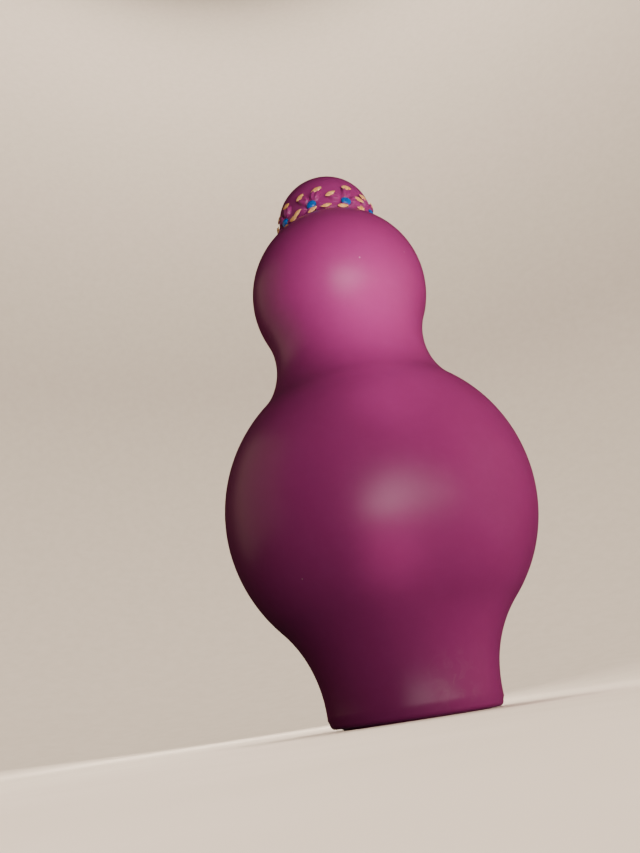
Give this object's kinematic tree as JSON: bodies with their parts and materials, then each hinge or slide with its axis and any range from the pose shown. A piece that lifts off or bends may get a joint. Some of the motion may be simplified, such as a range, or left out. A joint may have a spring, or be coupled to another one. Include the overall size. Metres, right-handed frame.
{
  "type": "squeeze toy",
  "caption": "Gourd-shaped soft squeeze toy: two round bulbs on a short foot, a crown knob ringed with small raised blossoms, and a squeaker in its base.",
  "frame": {"origin": "centre of the underside of the foot", "axes": "+Z along the toy's axis from foot to knob, -Y towards the side that is looked at first"},
  "size_m": [0.07, 0.07, 0.141],
  "materials": {
    "skin": "satin, soft vinyl",
    "knob": "satin, soft vinyl",
    "petal_paint": "hand-painted strokes",
    "blue_paint": "thick glossy paint",
    "plate": "matt vinyl",
    "white_plastic": "moulded",
    "grey_plastic": "moulded",
    "reed_film": "thin polyester film"
  },
  "bodies": {
    "base": {"foot_plate": "plate", "squeaker_housing": "white_plastic", "squeaker_cap": "white_plastic", "reed_seat": "grey_plastic"},
    "shell": {"body_shell": "skin"},
    "knob": {"crown_knob": "knob", "flower_centre_1": "blue_paint", "flower_centre_2": "blue_paint", "flower_centre_3": "blue_paint", "flower_centre_4": "blue_paint", "flower_centre_5": "blue_paint", "flower_centre_6": "blue_paint", "flower_centre_7": "blue_paint", "flower_centre_8": "blue_paint", "flower_centre_9": "blue_paint"},
    "reed": {"squeaker_reed": "reed_film"}
  },
  "joints": [
    {"name": "squeeze", "type": "slide", "parent": "base", "child": "shell", "axis": [0, 0, 1], "range_m": [-0.012, 0], "stiffness_N_per_m": 2500, "deforming": ["body_shell"]},
    {"name": "knob_turn", "type": "hinge", "parent": "shell", "child": "knob", "pos_m": [0, 0, 0.125], "axis": [0, 0, 1], "continuous": true},
    {"name": "reed_flex", "type": "hinge", "parent": "base", "child": "reed", "pos_m": [0, 0.00047, 0.0039], "axis": [1, 0, 0], "range_deg": [-6, 0], "stiffness_Nm_per_rad": 0.002}
  ]
}
